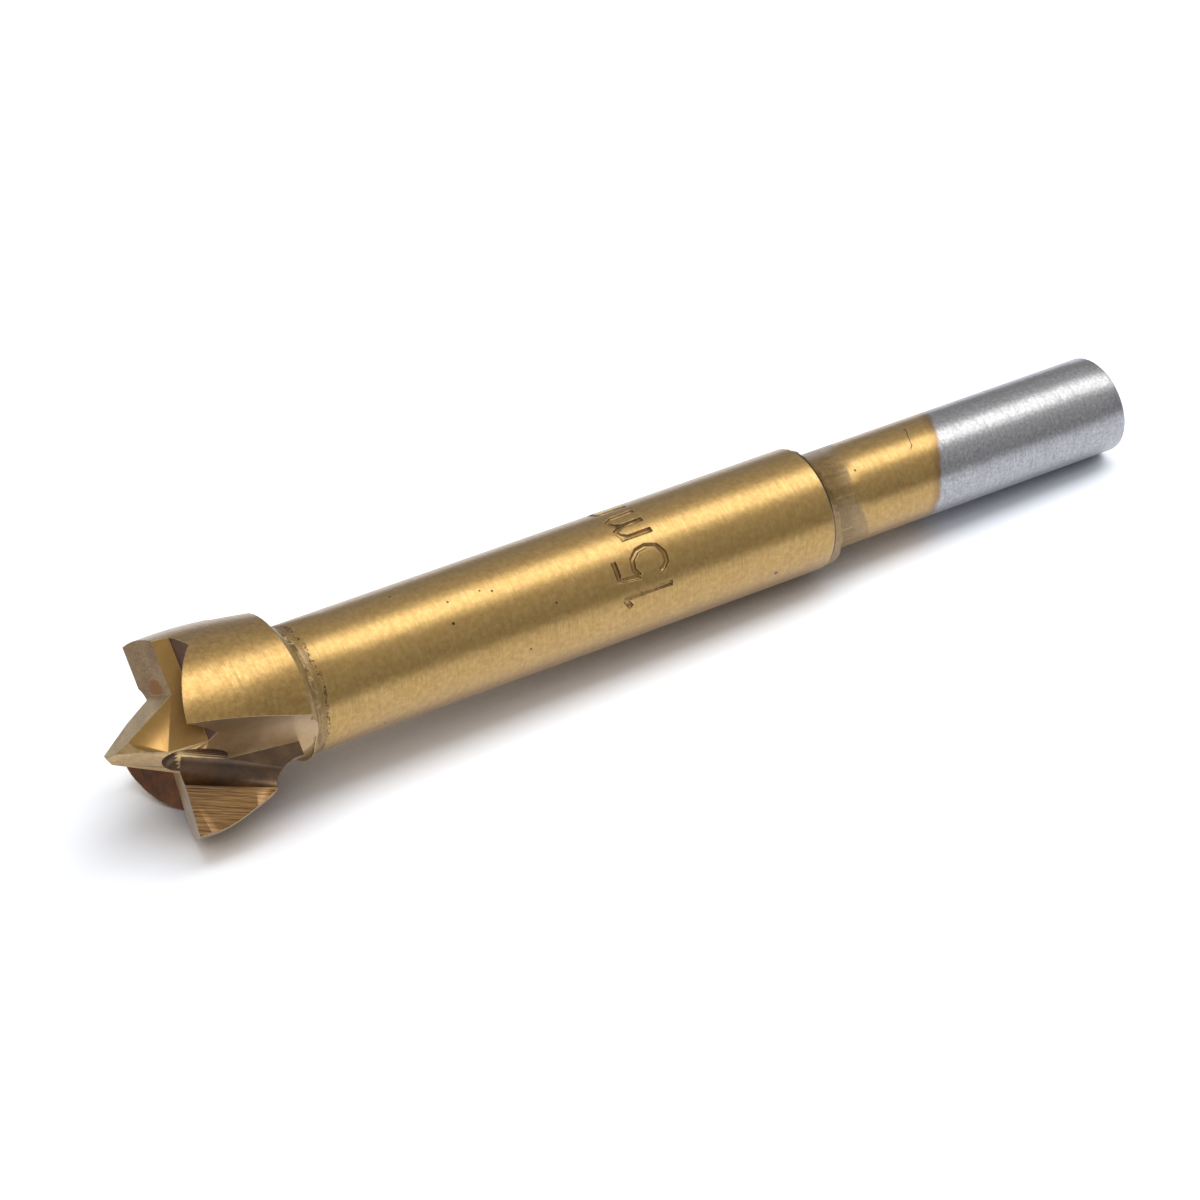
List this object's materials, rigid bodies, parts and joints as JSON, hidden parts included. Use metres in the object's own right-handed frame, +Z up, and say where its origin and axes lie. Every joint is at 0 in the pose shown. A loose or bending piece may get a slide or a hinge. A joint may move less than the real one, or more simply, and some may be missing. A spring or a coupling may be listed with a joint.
{
  "type": "forstner bit",
  "caption": "Boring bit with a straight round shank, a stepped body and a flared head with two lips, two curved spurs and a centre point.",
  "frame": {"origin": "centre of the footprint of the bit lying on a flat bench, at bench height", "axes": "+X runs along the lying bit towards its shank end, +Z is up, and the head lies at -X"},
  "size_m": [0.0918, 0.013, 0.0153],
  "materials": {
    "coated_steel": "satin ground steel under a gold-coloured hard coating, bare grey on the last part of the shank"
  },
  "bodies": {
    "root": {"forstner_bit": "coated_steel"}
  },
  "joints": []
}
